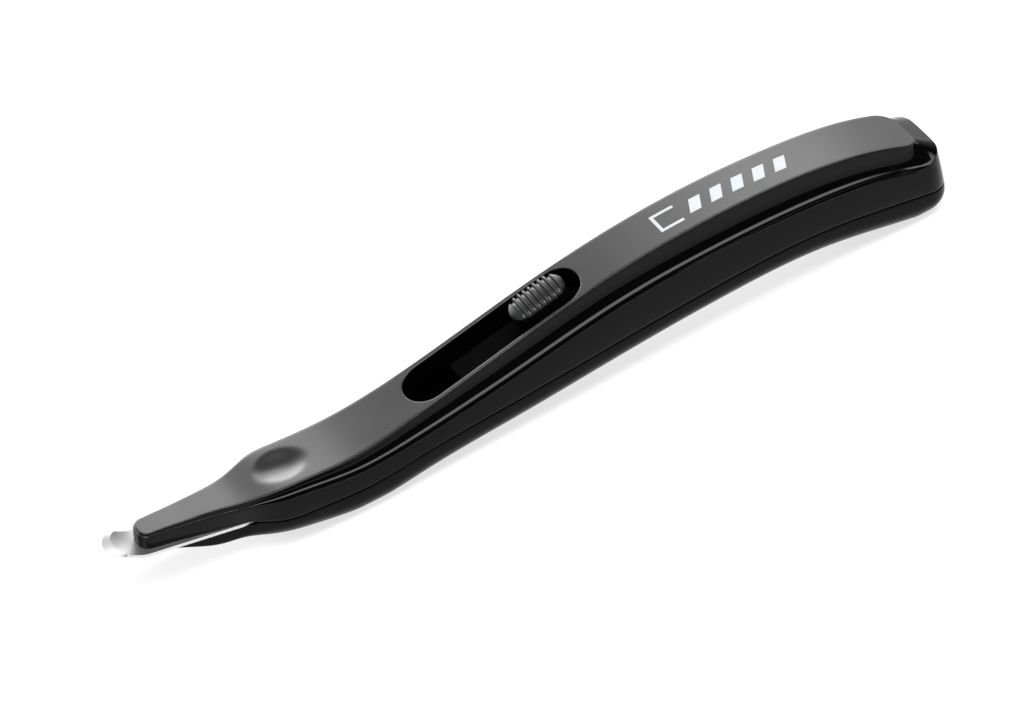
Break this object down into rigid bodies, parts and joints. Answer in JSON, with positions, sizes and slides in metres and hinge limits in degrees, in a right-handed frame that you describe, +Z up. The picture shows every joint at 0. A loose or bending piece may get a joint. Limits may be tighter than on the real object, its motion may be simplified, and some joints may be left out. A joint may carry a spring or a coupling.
{
  "type": "staple remover",
  "caption": "Slim curved hand tool with a spoon-shaped steel blade that lifts a staple and a thumb slide that carries a magnet to hold it.",
  "frame": {"origin": "centre of the bounding box in plan, on the table plane the tool rests on", "axes": "+X along the tool to its rear end (the blade points to -X), +Y across it, +Z up from the table"},
  "size_m": [0.1604, 0.0164, 0.0216],
  "materials": {
    "casing": "satin black moulded plastic with a fine-grained top and glossy sides",
    "tray": "glossy black moulded plastic",
    "blade": "polished spring steel",
    "button": "satin dark grey plastic with cross grooves",
    "carriage": "plain black moulded plastic",
    "magnet": "nickel-plated magnet",
    "screws": "zinc-plated steel"
  },
  "bodies": {
    "casing": {"upper_casing": "casing", "lower_casing": "tray", "blade": "blade", "casing_screws": "screws"},
    "slide": {"slide_button": "button", "slide_carriage": "carriage", "magnet": "magnet"}
  },
  "joints": [
    {"name": "thumb_slide", "type": "slide", "parent": "casing", "child": "slide", "axis": [-0.981, 0, -0.1942], "range_m": [0, 0.02]}
  ]
}
